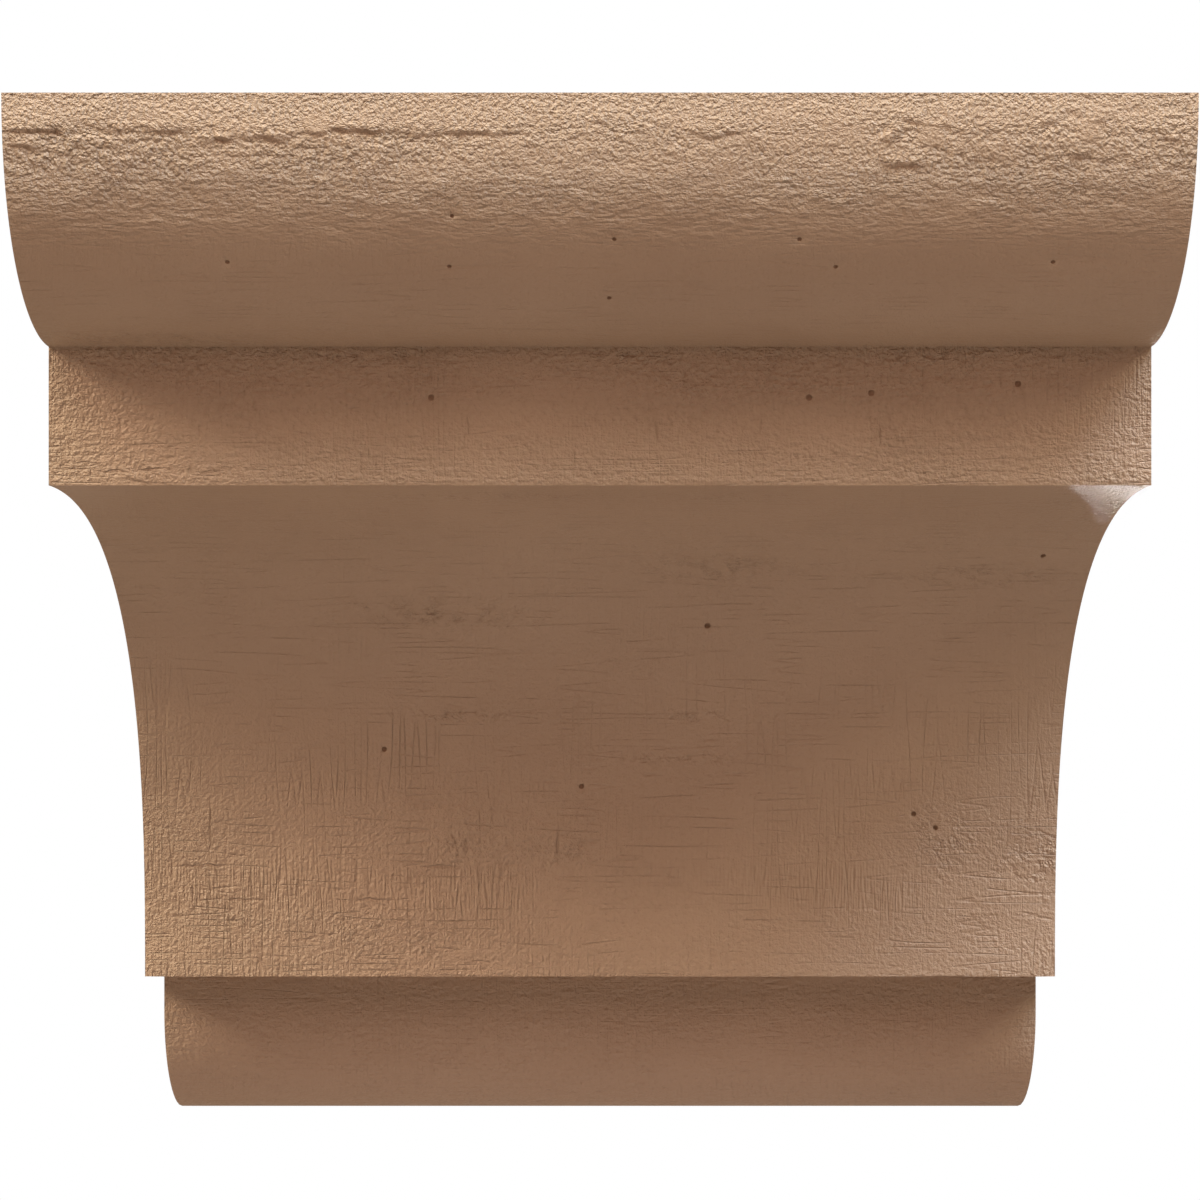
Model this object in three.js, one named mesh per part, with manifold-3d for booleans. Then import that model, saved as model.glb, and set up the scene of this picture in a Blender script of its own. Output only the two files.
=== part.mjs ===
// Moulded corbel, cast in one piece, in millimetres.
// +Z is up, the flat back stands in the plane y = 0, and the face looks along -Y.
// The origin is on the back, on the centre line, halfway up.
//
// One moulding runs round the front and both sides. Read from the top down it is an ovolo,
// a flat fillet, a deep cove, a small step back and a bullnose. The front carries the same
// moulding as the sides, drawn deeper, so every level section is a rectangle.

import * as THREE from "three";
import { mergeVertices } from "three/addons/utils/BufferGeometryUtils.js";
import Module from "manifold-3d";

// The flat top, under the shelf or beam.
const TOP_WIDTH = 203.2;
const TOP_DEPTH = 152.4;

// Heights of the members, from the top down.
const OVOLO_HEIGHT = 43.0;
const FILLET_HEIGHT = 23.6;
const COVE_HEIGHT = 84.0;
const BAND_HEIGHT = 6.0;
const BULLNOSE_HEIGHT = 16.4;

// How far each member falls back on the sides.
const OVOLO_SET = 7.75;
const COVE_SET = 15.9;
const STEP_SET = 3.2;
const BULLNOSE_SET = 3.0;

// The same falls on the front are this many times as deep.
const FRONT_STRETCH = 3.5;

// The ovolo and the cove are arcs that would run on this far behind the fillet's face.
const OVOLO_TUCK = 1.15;
const COVE_TUCK = 4.4;

// An exponent of 2 would make the cove an ellipse; above that it is squarer.
const COVE_SQUARENESS = 2.67;

// Straight facets along each arc.
const OVOLO_FACETS = 32;
const COVE_FACETS = 48;
const BULLNOSE_FACETS = 20;

const HEIGHT = OVOLO_HEIGHT + FILLET_HEIGHT + COVE_HEIGHT + BAND_HEIGHT + BULLNOSE_HEIGHT;
const COLOUR = 0xb8946f;

// A point of the moulding: drop below the top, and inset from the top's edge on the sides.
const point = (drop, inset) => ({ drop, inset });

// Points along an arc, where place(a) gives the point at angle a, with the first one left out.
function arc(facets, from, to, place) {
  return Array.from({ length: facets }, (_, i) => place(from + ((to - from) * (i + 1)) / facets));
}

// The ovolo leaves the top edge upright and curls under until it meets the fillet's face.
function ovolo() {
  const reach = OVOLO_SET + OVOLO_TUCK;
  const foot = Math.acos(OVOLO_TUCK / reach);
  const rise = OVOLO_HEIGHT / Math.sin(foot);
  return arc(OVOLO_FACETS, 0, foot, (a) => point(rise * Math.sin(a), reach * (1 - Math.cos(a))));
}

// The cove starts almost level under the fillet and sweeps down to an upright foot.
function cove() {
  const top = OVOLO_HEIGHT + FILLET_HEIGHT;
  const reach = COVE_SET + COVE_TUCK;
  const power = 2 / COVE_SQUARENESS;
  const head = Math.asin(Math.pow(COVE_TUCK / reach, 1 / power));
  const rise = COVE_HEIGHT / Math.pow(Math.cos(head), power);
  return arc(COVE_FACETS, head, Math.PI / 2, (a) =>
    point(
      top + COVE_HEIGHT - rise * Math.pow(Math.max(Math.cos(a), 0), power),
      OVOLO_SET - COVE_TUCK + reach * Math.pow(Math.sin(a), power),
    ),
  );
}

// The bullnose rounds the bottom of the base over, down to the flat underside.
function bullnose(top, inset) {
  return arc(BULLNOSE_FACETS, 0, Math.PI / 2, (a) =>
    point(top + BULLNOSE_HEIGHT * Math.sin(a), inset + BULLNOSE_SET * (1 - Math.cos(a))),
  );
}

// The whole moulding, from the edge of the top down to the edge of the underside.
function moulding() {
  const coveTop = OVOLO_HEIGHT + FILLET_HEIGHT;
  const coveFoot = coveTop + COVE_HEIGHT;
  const baseInset = OVOLO_SET + COVE_SET + STEP_SET;
  return [
    point(0, 0),
    ...ovolo(),
    point(coveTop, OVOLO_SET),
    ...cove(),
    point(coveFoot, baseInset),
    point(coveFoot + BAND_HEIGHT, baseInset),
    ...bullnose(coveFoot + BAND_HEIGHT, baseInset),
  ];
}

// A closed outline drawn in a plane, extruded square to it.
function extrude(points, depth) {
  const shape = new THREE.Shape(points.map(([u, v]) => new THREE.Vector2(u, v)));
  return new THREE.ExtrudeGeometry(shape, { depth, bevelEnabled: false });
}

// The outline seen from the front, extruded from well behind the back to well past the face.
function frontOutline(profile, spare) {
  const across = ({ drop, inset }) => [TOP_WIDTH / 2 - inset, HEIGHT / 2 - drop];
  const right = profile.map(across);
  const left = right.map(([x, z]) => [-x, z]).reverse();
  return extrude([...left, ...right], TOP_DEPTH + 2 * spare)
    .rotateX(Math.PI / 2)
    .translate(0, spare, 0);
}

// The outline seen from the side, extruded past both flanks.
function sideOutline(profile, spare) {
  const out = ({ drop, inset }) => [FRONT_STRETCH * inset - TOP_DEPTH, HEIGHT / 2 - drop];
  const underside = [0, -HEIGHT / 2];
  const backTop = [0, HEIGHT / 2];
  return extrude([...profile.map(out), underside, backTop], TOP_WIDTH + 2 * spare)
    .rotateX(Math.PI / 2)
    .rotateZ(Math.PI / 2)
    .translate(-TOP_WIDTH / 2 - spare, 0, 0);
}

// A closed three.js geometry as a solid that can be cut.
function toSolid(wasm, geometry) {
  geometry.deleteAttribute("normal");
  geometry.deleteAttribute("uv");
  const merged = mergeVertices(geometry, 1e-4);
  const mesh = new wasm.Mesh({
    numProp: 3,
    vertProperties: merged.attributes.position.array,
    triVerts: new Uint32Array(merged.index.array),
  });
  return new wasm.Manifold(mesh);
}

// A solid back as a three.js geometry.
function toGeometry(solid) {
  const { vertProperties, triVerts } = solid.getMesh();
  const geometry = new THREE.BufferGeometry();
  geometry.setAttribute("position", new THREE.BufferAttribute(vertProperties, 3));
  geometry.setIndex(new THREE.BufferAttribute(triVerts, 1));
  geometry.computeVertexNormals();
  return geometry;
}

// The casting is what the two outlines have in common, which mitres the moulding at the corners.
async function corbel() {
  const wasm = await Module();
  wasm.setup();
  const profile = moulding();
  const spare = TOP_DEPTH / 8;
  const front = toSolid(wasm, frontOutline(profile, spare));
  const side = toSolid(wasm, sideOutline(profile, spare));
  const material = new THREE.MeshStandardMaterial({ color: COLOUR, roughness: 0.75, metalness: 0 });
  const mesh = new THREE.Mesh(toGeometry(front.intersect(side)), material);
  mesh.name = "corbel";
  return mesh;
}

const part = new THREE.Group();
part.add(await corbel());

export default part;
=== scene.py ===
"""A cast urethane corbel with a sandblasted wood texture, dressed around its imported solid."""

import logging
import math
from dataclasses import astuple, dataclass, field
from enum import Enum
from functools import reduce
from itertools import pairwise

import bmesh
import bpy
import numpy as np
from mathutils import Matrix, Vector

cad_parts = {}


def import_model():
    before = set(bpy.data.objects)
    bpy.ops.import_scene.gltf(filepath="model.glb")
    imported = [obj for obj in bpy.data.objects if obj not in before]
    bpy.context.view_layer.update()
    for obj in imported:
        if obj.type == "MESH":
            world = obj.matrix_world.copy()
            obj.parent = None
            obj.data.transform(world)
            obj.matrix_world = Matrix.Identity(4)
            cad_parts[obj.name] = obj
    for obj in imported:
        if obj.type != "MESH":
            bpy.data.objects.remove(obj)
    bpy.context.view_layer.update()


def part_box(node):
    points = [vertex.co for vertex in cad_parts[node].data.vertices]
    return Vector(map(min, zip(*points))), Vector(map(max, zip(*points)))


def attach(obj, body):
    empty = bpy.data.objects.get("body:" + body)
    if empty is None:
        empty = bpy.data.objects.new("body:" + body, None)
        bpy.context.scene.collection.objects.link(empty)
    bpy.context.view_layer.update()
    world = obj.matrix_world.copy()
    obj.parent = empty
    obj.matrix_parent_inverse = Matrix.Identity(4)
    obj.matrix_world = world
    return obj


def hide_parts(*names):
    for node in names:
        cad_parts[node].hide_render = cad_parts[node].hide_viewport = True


Socket = bpy.types.NodeSocket

LOG = logging.getLogger("corbel")
MM = 0.001
TINY = 1e-6

HASH_ACROSS = 374761393
HASH_DOWN = 668265263
HASH_SEED = 2147483647
HASH_MIX = 1274126177
HASH_RANGE = 2**32
TURN_STEPS = 2**16
OCTAVE_SEED = 101


class Side(Enum):
    """The three moulded sides, with the way each one faces along X."""

    LEFT = -1
    FRONT = 0
    RIGHT = 1


class Zone(Enum):
    """The flat and moulded parts of the skin, each unrolled in its own way."""

    FRONT = 0
    SIDE = 1
    END = 2
    BACK = 3


class Member(Enum):
    """The members of the moulding that carry a grain of their own, from the top down."""

    OVOLO = 0
    FILLET = 1
    COVE = 2
    BASE = 3


class Way(Enum):
    """The two ways over the moulded surface."""

    ACROSS = 0
    DOWN = 1


def ease(value: np.ndarray, start: float, end: float) -> np.ndarray:
    """Blend smoothly from 0 to 1 as a value passes from start to end.

    Args:
        value: The values to blend by.
        start: Where the blend is still 0.
        end: Where the blend has reached 1.

    Returns:
        Weights from 0 to 1, in the shape of the values.
    """
    share = np.clip((value - start) / (end - start), 0.0, 1.0)
    return share * share * (3.0 - 2.0 * share)


@dataclass(frozen=True)
class Noise:
    """Smooth noise over the unrolled surface, about -1 to 1, the same on every run.

    across and down are the size of its cells, in millimetres. Each further octave is twice as fine
    and half as high as the one before.
    """

    seed: int
    across: float
    down: float
    octaves: int = 1

    def slope(self, seed: int, cell_u: np.ndarray, cell_v: np.ndarray) -> tuple[np.ndarray, ...]:
        """Give each cell corner a fixed direction.

        Args:
            seed: The octave's own seed.
            cell_u: Whole numbers across.
            cell_v: Whole numbers down.

        Returns:
            The two parts of a unit direction at each corner.
        """
        mix = cell_u * HASH_ACROSS + cell_v * HASH_DOWN + seed * HASH_SEED
        mix = (mix ^ (mix >> 13)) % HASH_RANGE
        mix = (mix * HASH_MIX) % HASH_RANGE
        mix = (mix ^ (mix >> 16)) % TURN_STEPS
        angle = mix * (2.0 * math.pi / TURN_STEPS)
        return np.cos(angle), np.sin(angle)

    def octave(self, seed: int, u: np.ndarray, v: np.ndarray) -> np.ndarray:
        """Read one octave.

        Args:
            seed: Its own seed.
            u: Places across, in its cells.
            v: Places down, in its cells.

        Returns:
            The octave at each place.
        """
        low_u = np.floor(u).astype(np.int64)
        low_v = np.floor(v).astype(np.int64)
        part_u = u - low_u
        part_v = v - low_v
        fade_u, fade_v = (p**3 * (p * (p * 6.0 - 15.0) + 10.0) for p in (part_u, part_v))
        total = np.zeros_like(part_u)
        for step_u in (0, 1):
            for step_v in (0, 1):
                way_u, way_v = self.slope(seed, low_u + step_u, low_v + step_v)
                height = way_u * (part_u - step_u) + way_v * (part_v - step_v)
                weight_u = fade_u if step_u else 1.0 - fade_u
                weight_v = fade_v if step_v else 1.0 - fade_v
                total += height * weight_u * weight_v
        return total * math.sqrt(2.0)

    def at(self, u: np.ndarray, v: np.ndarray) -> np.ndarray:
        """Read the noise.

        Args:
            u: Places across, in millimetres.
            v: Places down, in millimetres.

        Returns:
            The noise at each place.
        """
        total = np.zeros_like(u)
        for step in range(self.octaves):
            finer = 2.0**step
            seed = self.seed + OCTAVE_SEED * step
            total += self.octave(seed, u / self.across * finer, v / self.down * finer) / finer
        return total


@dataclass(frozen=True)
class Curve:
    """A strength that changes smoothly one way over the moulded surface.

    points holds places across from the centre line, or down from the top, in millimetres, each
    with the strength there. It stays level before the first and after the last.
    """

    way: Way
    points: tuple[tuple[float, float], ...]

    def at(self, u: np.ndarray, drop: np.ndarray) -> np.ndarray:
        """Read the strength.

        Args:
            u: Places across, in millimetres.
            drop: Heights below the top, in millimetres.

        Returns:
            The strength at each place.
        """
        place = u if self.way is Way.ACROSS else drop
        total = np.full(place.shape, self.points[0][1])
        for (start, low), (end, high) in pairwise(self.points):
            total += (high - low) * ease(place, start, end)
        return total


def from_left(*points: tuple[float, float]) -> Curve:
    """Make a curve that runs from left to right."""
    return Curve(Way.ACROSS, points)


def from_top(*points: tuple[float, float]) -> Curve:
    """Make a curve that runs from the top down."""
    return Curve(Way.DOWN, points)


@dataclass(frozen=True)
class Levels:
    """The levels of the mesh down the moulding, in millimetres.

    drop is measured down from the top, inset in from the top's edge on the sides, and run and
    side_run along the profile on the front and on the sides. lean is the front's outward normal,
    as its parts forward and up, and side_lean the sides'. edge marks the arrises and creases.
    """

    drop: np.ndarray
    inset: np.ndarray
    run: np.ndarray
    side_run: np.ndarray
    lean: np.ndarray
    side_lean: np.ndarray
    edge: np.ndarray


@dataclass(frozen=True)
class Moulding:
    """The moulding that runs round the front and both sides, from the top down, in millimetres.

    The front falls back front_stretch times as far as the sides. The ovolo and the cove are parts
    of curves that would turn a little further, by their tucks. The mesh's levels are pitch apart,
    with the depth counted at depth_share, and closer where fine_levels say so, as a first and a
    last drop and the pitch between them.
    """

    ovolo_height: float = 43.0
    fillet_height: float = 23.6
    cove_height: float = 84.0
    band_height: float = 6.0
    ovolo_set: float = 7.75
    cove_set: float = 15.9
    step_set: float = 3.2
    bullnose_set: float = 3.0
    front_stretch: float = 3.5
    ovolo_tuck: float = 1.15
    cove_tuck: float = 4.4
    cove_squareness: float = 2.67
    facets: int = 240
    pitch: float = 0.8
    depth_share: float = 0.4
    fine_levels: tuple[tuple[float, float, float], ...] = (
        (1.5, 3.5, 0.5),
        (3.5, 9.0, 0.35),
        (9.0, 13.0, 0.5),
    )

    @property
    def fillet_foot(self) -> float:
        """Say how far below the top the fillet ends."""
        return self.ovolo_height + self.fillet_height

    @property
    def cove_foot(self) -> float:
        """Say how far below the top the cove ends."""
        return self.fillet_foot + self.cove_height

    def ovolo(self) -> np.ndarray:
        """Trace the ovolo, from the top edge down to the fillet.

        Returns:
            Drops and insets.
        """
        reach = self.ovolo_set + self.ovolo_tuck
        foot = math.acos(self.ovolo_tuck / reach)
        turn = np.linspace(0.0, foot, self.facets)
        rise = self.ovolo_height / math.sin(foot)
        return np.stack([rise * np.sin(turn), reach * (1.0 - np.cos(turn))])

    def cove(self) -> np.ndarray:
        """Trace the cove, from under the fillet down to its upright foot.

        Returns:
            Drops and insets.
        """
        reach = self.cove_set + self.cove_tuck
        power = 2.0 / self.cove_squareness
        head = math.asin((self.cove_tuck / reach) ** (1.0 / power))
        turn = np.linspace(head, math.pi / 2.0, self.facets)
        rise = self.cove_height / math.cos(head) ** power
        drop = self.cove_foot - rise * np.clip(np.cos(turn), 0.0, 1.0) ** power
        return np.stack([drop, self.ovolo_set - self.cove_tuck + reach * np.sin(turn) ** power])

    def bullnose(self, height: float) -> np.ndarray:
        """Trace the bullnose, from its upright band round to the underside.

        Args:
            height: The whole moulding's height.

        Returns:
            Drops and insets.
        """
        start = self.cove_foot + self.band_height
        inset = self.ovolo_set + self.cove_set + self.step_set
        turn = np.linspace(0.0, math.pi / 2.0, self.facets)
        drop = start + (height - start) * np.sin(turn)
        return np.stack([drop, inset + self.bullnose_set * (1.0 - np.cos(turn))])

    def upright(self, top: float, foot: float, inset: float) -> np.ndarray:
        """Trace an upright face between two drops."""
        return np.array([[top, foot], [inset, inset]])

    def count_levels(self, drop: np.ndarray, step: np.ndarray) -> np.ndarray:
        """Count the levels along a trace, which lie closer where the lip is broken.

        Args:
            drop: The middle of each step of the trace.
            step: The length of each step, as the mesh counts it.

        Returns:
            The number of levels passed at the start of each step, and at the end of the last.
        """
        pitch = np.full(len(drop), self.pitch)
        for start, end, fine in self.fine_levels:
            pitch[(drop >= start) & (drop < end)] = fine
        return np.concatenate([[0.0], np.cumsum(step / pitch)])

    def levels(self, height: float) -> Levels:
        """Space the mesh's levels down the moulding.

        Args:
            height: The whole moulding's height.

        Returns:
            The levels, from the top's edge down to the underside's.
        """
        cove_inset = self.ovolo_set + self.cove_set
        base_inset = cove_inset + self.step_set
        traces = (
            self.ovolo(),
            self.upright(self.ovolo_height, self.fillet_foot, self.ovolo_set),
            self.cove(),
            np.array([[self.cove_foot, self.cove_foot], [cove_inset, base_inset]]),
            self.upright(self.cove_foot, self.cove_foot + self.band_height, base_inset),
            self.bullnose(height),
        )
        parts = []
        run_start = side_start = 0.0
        for drop, inset in traces:
            fall, back = np.diff(drop), np.diff(inset)
            steps = (
                np.hypot(fall, self.front_stretch * back),
                np.hypot(fall, back),
                np.hypot(fall, self.depth_share * self.front_stretch * back),
            )
            run, side_run, seen = (np.concatenate([[0.0], np.cumsum(step)]) for step in steps)
            counted = self.count_levels((drop[:-1] + drop[1:]) / 2.0, np.diff(seen))
            count = max(2, math.ceil(counted[-1]))
            places = np.interp(np.linspace(0.0, counted[-1], count + 1), counted, seen)
            forward = np.interp(places, seen, np.gradient(drop, seen))
            upward = np.interp(places, seen, -np.gradient(inset, seen))
            edge = np.zeros(len(places), dtype=bool)
            edge[0] = edge[-1] = True
            columns = [np.interp(places, seen, line) for line in (drop, inset, run, side_run)]
            columns[2] += run_start
            columns[3] += side_start
            run_start += run[-1]
            side_start += side_run[-1]
            table = np.stack([*columns, forward, upward, edge], axis=1)
            parts.append(table[1:] if parts else table)
        table = np.concatenate(parts)
        drop, inset, run, side_run, forward, upward, edge = table.T
        length = np.hypot(forward, self.front_stretch * upward)
        lean = np.stack([forward, self.front_stretch * upward], axis=1) / length[:, None]
        side_lean = table[:, 4:6] / np.hypot(forward, upward)[:, None]
        return Levels(drop, inset, run, side_run, lean, side_lean, edge.astype(bool))


@dataclass(frozen=True)
class Ledge:
    """A torn ledge in the grain: the surface swells down to a line and breaks back under it.

    path holds places along the line, across from the centre line and down the profile. height is
    the ledge's in the mould, of which the casting kept a share, and evenness how much of it stays
    where the break is shallow. Above the line it swells over swell. It breaks back within brink,
    comes up again over undercut, and fades at both ends over taper. Sizes are in millimetres.
    """

    path: tuple[tuple[float, float], ...]
    height: float = 0.45
    kept: float = 0.52
    evenness: float = 0.4
    swell: float = 2.2
    undercut: float = 0.65
    brink: float = 0.3
    taper: float = 1.5

    def lift(
        self, u: np.ndarray, v: np.ndarray, stray: np.ndarray, depth: np.ndarray
    ) -> np.ndarray:
        """Work out how far the ledge stands out.

        Args:
            u: Places across, in millimetres.
            v: Places down the profile, in millimetres.
            stray: How far the line strays down at each place, in millimetres.
            depth: How deep the break is at each place, as a share of the ledge's height.

        Returns:
            Heights in millimetres.
        """
        places, drops = np.array(self.path).T
        above = np.interp(u, places, drops) + stray - v
        starts = ease(u, places[0] - self.taper, places[0] + self.taper)
        stops = ease(u, places[-1] - self.taper, places[-1] + self.taper)
        swell = np.exp(-np.clip(above, 0.0, None) / self.swell)
        notch = -np.exp(np.clip(above + self.brink, None, 0.0) / self.undercut)
        share = ease(above, -self.brink, 0.0)
        height = self.kept * self.height * starts * (1.0 - stops)
        height = height * (self.evenness + (1.0 - self.evenness) * depth)
        return height * (share * swell + (1.0 - share) * depth * notch)


@dataclass(frozen=True)
class Spot:
    """A round patch where the grain is rubbed smooth, in millimetres.

    It is smoothest up to core and ends at rim, both as shares of its radius.
    """

    u: float
    v: float
    radius: float
    core: float = 0.5
    rim: float = 1.3

    def share(self, u: np.ndarray, v: np.ndarray) -> np.ndarray:
        """Say how much of the spot covers each place, from 0 to 1."""
        away = np.hypot(u - self.u, v - self.v)
        return 1.0 - ease(away, self.core * self.radius, self.rim * self.radius)


@dataclass(frozen=True)
class Crumbs:
    """A patch of crumbs in the front: its middle, half width and half height, in millimetres."""

    u: float
    drop: float
    across: float
    down: float

    def share(self, u: np.ndarray, drop: np.ndarray) -> np.ndarray:
        """Say how thickly the crumbs lie at each place, from 0 to 1."""
        return np.exp(-(((u - self.u) / self.across) ** 2) - ((drop - self.drop) / self.down) ** 2)


@dataclass(frozen=True)
class Crack:
    """A hairline crack in the front: its middle, and its reach across and down, in millimetres."""

    u: float
    drop: float
    across: float
    down: float = 0.7


@dataclass(frozen=True)
class Pinhole:
    """A small round air hole left by the casting, in millimetres."""

    u: float
    drop: float
    radius: float = 0.45
    depth: float = 0.6


@dataclass(frozen=True)
class Kinds:
    """How strong each kind of grain is, in the order in which the finish reads them."""

    clumps: float = 0.0
    waves: float = 0.0
    sawn: float = 0.0
    sand: float = 0.0
    level: float = 0.0
    upright: float = 0.0


@dataclass(frozen=True)
class Region:
    """Grain that lies all over one member of the moulding, or where its curves are strong."""

    member: Member
    kinds: Kinds
    curves: tuple[Curve, ...] = ()

    def share(self, members: np.ndarray, u: np.ndarray, drop: np.ndarray) -> np.ndarray:
        """Say how much of the region's grain each place has.

        Args:
            members: The number of the member at each place.
            u: Places across, in millimetres.
            drop: Heights below the top, in millimetres.

        Returns:
            The shares, which are 0 off the member.
        """
        total = np.where(members == self.member.value, 1.0, 0.0)
        for curve in self.curves:
            total = total * curve.at(u, drop)
        return total


@dataclass(frozen=True)
class Grain:
    """The sandblasted wood grain that is cast into the moulded sides, in millimetres.

    bend moves the swells and waves down, by its reach. stray moves each ledge's line, by its
    reach, and tear, read along one line across, says how deep it breaks, as a share of its height.

    The patches make the clumps, waves and sand stronger and weaker, the waves and the sand less so
    by their evenness, and the spots rub them off. The weave does so for the saw lines and upright
    hairlines, between weave_least and 1. The crumbs strewn over their patches and the hairlines
    worn off have gaps where their noise is low. No kind is stronger than strongest.
    """

    moulding: Moulding
    bend: Noise = Noise(31, 18.0, 18.0, 2)
    bend_reach: float = 1.2
    swell: Noise = Noise(32, 26.0, 11.0, 2)
    swell_height: float = 0.12
    wave: Noise = Noise(33, 5.0, 2.0)
    wave_height: float = 0.12
    lump: Noise = Noise(34, 1.8, 1.8)
    lump_height: float = 0.26
    clod: Noise = Noise(36, 3.96, 3.6)
    clod_share: float = 0.5
    stray: Noise = Noise(35, 4.0, 1.0, 3)
    stray_reach: float = 0.6
    tear: Noise = Noise(37, 3.0, 1.0, 2)
    tear_depth: float = 0.8
    tear_change: float = 0.7
    tear_limits: tuple[float, float] = (0.25, 1.2)
    tear_line: float = 0.5
    patches: Noise = Noise(11, 34.0, 13.0, 3)
    patch_change: float = 0.5
    small_patches: Noise = Noise(12, 9.0, 5.0, 2)
    small_patch_change: float = 0.4
    wave_evenness: float = 0.4
    sand_evenness: float = 0.5
    rubbed: float = 0.9
    weave: Noise = Noise(21, 24.0, 17.0, 2)
    weave_range: tuple[float, float] = (-0.35, 0.45)
    weave_least: float = 0.25
    strewn: Noise = Noise(22, 3.0, 2.0, 2)
    worn: Noise = Noise(23, 7.0, 4.0, 3)
    gap_range: tuple[float, float] = (-0.3, 0.3)
    crumb_clumps: float = 0.45
    crumb_sand: float = 0.65
    strongest: float = 1.6
    regions: tuple[Region, ...] = (
        Region(Member.OVOLO, Kinds(clumps=0.05, sawn=0.05, sand=0.3)),
        Region(Member.OVOLO, Kinds(clumps=0.13, sand=0.74), (from_top((14.0, 1.0), (25.0, 0.0)),)),
        Region(Member.OVOLO, Kinds(clumps=0.16, sand=0.15), (from_top((5.0, 1.0), (8.0, 0.0)),)),
        Region(
            Member.OVOLO,
            Kinds(clumps=0.7),
            (
                from_left((-50.0, 0.66), (-5.0, 0.36), (40.0, 0.36), (60.0, 0.66)),
                from_top((5.0, 0.0), (7.0, 1.0), (12.0, 1.0), (16.0, 0.45)),
                from_top((14.0, 1.0), (25.0, 0.0)),
            ),
        ),
        Region(
            Member.OVOLO,
            Kinds(waves=0.7),
            (from_top((11.0, 0.0), (16.0, 1.0), (22.0, 1.0), (29.0, 0.0)),),
        ),
        Region(Member.OVOLO, Kinds(level=0.6, upright=0.2), (from_top((20.0, 0.0), (27.0, 1.0)),)),
        Region(Member.FILLET, Kinds(clumps=0.24, sawn=0.5, sand=0.6, level=0.5, upright=0.5)),
        Region(Member.FILLET, Kinds(waves=0.3), (from_top((50.0, 1.0), (55.0, 0.0)),)),
        Region(
            Member.FILLET,
            Kinds(waves=0.36, sawn=-0.2, level=0.3),
            (from_top((56.0, 0.0), (58.0, 1.0)),),
        ),
        Region(Member.COVE, Kinds(0.04, 0.05, 0.25, 0.27, 0.65, 0.2)),
        Region(
            Member.COVE,
            Kinds(clumps=0.12, sawn=0.4, sand=0.42, level=0.5),
            (from_top((106.0, 0.0), (138.0, 1.0)), from_left((-20.0, 1.0), (30.0, 0.4))),
        ),
        Region(
            Member.COVE,
            Kinds(sawn=0.5, sand=-0.2),
            (from_top((131.0, 0.0), (132.0, 1.0), (138.5, 1.0), (139.5, 0.0)),),
        ),
        Region(
            Member.COVE,
            Kinds(upright=0.9),
            (
                from_top((88.0, 0.0), (115.0, 1.0)),
                from_left((-40.0, 1.0), (0.0, 0.45), (45.0, 0.45), (65.0, 0.75)),
            ),
        ),
        Region(Member.BASE, Kinds(0.1, 0.22, 0.35, 0.4, 0.4, 0.3)),
    )
    ledges: tuple[Ledge, ...] = (
        Ledge(((-103.0, 6.1), (-98.4, 6.3), (-94.2, 6.4), (-91.0, 6.6)), 0.5),
        Ledge(((-103.0, 8.7), (-99.5, 8.8), (-95.2, 9.2)), 0.4),
        Ledge(((-84.8, 6.5), (-79.7, 6.0), (-73.0, 6.2), (-69.9, 6.9)), 0.32),
        Ledge(((-69.0, 7.7), (-66.2, 8.3), (-64.1, 7.6), (-62.0, 8.1)), 0.36),
        Ledge(((-60.4, 7.4), (-57.3, 7.4), (-54.0, 7.8), (-52.3, 6.9), (-50.9, 6.4)), 0.42),
        Ledge(
            ((-49.9, 6.9), (-47.8, 6.9), (-46.0, 6.4), (-44.1, 6.1), (-39.0, 6.4), (-33.5, 6.4)),
            0.4,
        ),
        Ledge(((-34.5, 6.6), (-28.8, 7.0), (-20.4, 6.7), (-13.6, 7.0)), 0.26),
        Ledge(((-1.7, 4.8), (3.4, 4.9)), 0.22),
        Ledge(((16.1, 6.5), (19.5, 7.4), (24.6, 6.7)), 0.26),
        Ledge(((48.9, 8.0), (51.4, 6.4)), 0.45),
        Ledge(((51.5, 4.3), (54.9, 5.4)), 0.5),
        Ledge(((58.2, 6.2), (60.4, 5.2)), 0.35),
        Ledge(((75.2, 5.4), (78.0, 4.1)), 0.5),
        Ledge(((77.7, 2.5), (81.3, 3.6)), 0.5),
        Ledge(((83.8, 5.4), (86.7, 4.1)), 0.45),
        Ledge(((89.0, 2.0), (91.8, 2.3)), 0.35),
        Ledge(((48.6, 12.1), (54.6, 12.3)), 0.36),
        Ledge(((76.4, 10.7), (81.6, 10.6)), 0.36),
        Ledge(((65.0, 11.1), (69.0, 11.6)), 0.26),
        Ledge(((94.0, 7.6), (98.5, 8.0), (103.0, 8.5)), 0.28),
    )
    spots: tuple[Spot, ...] = (Spot(56.3, 7.6, 2.2), Spot(83.1, 6.5, 2.0), Spot(-48.2, 5.0, 2.6))
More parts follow.
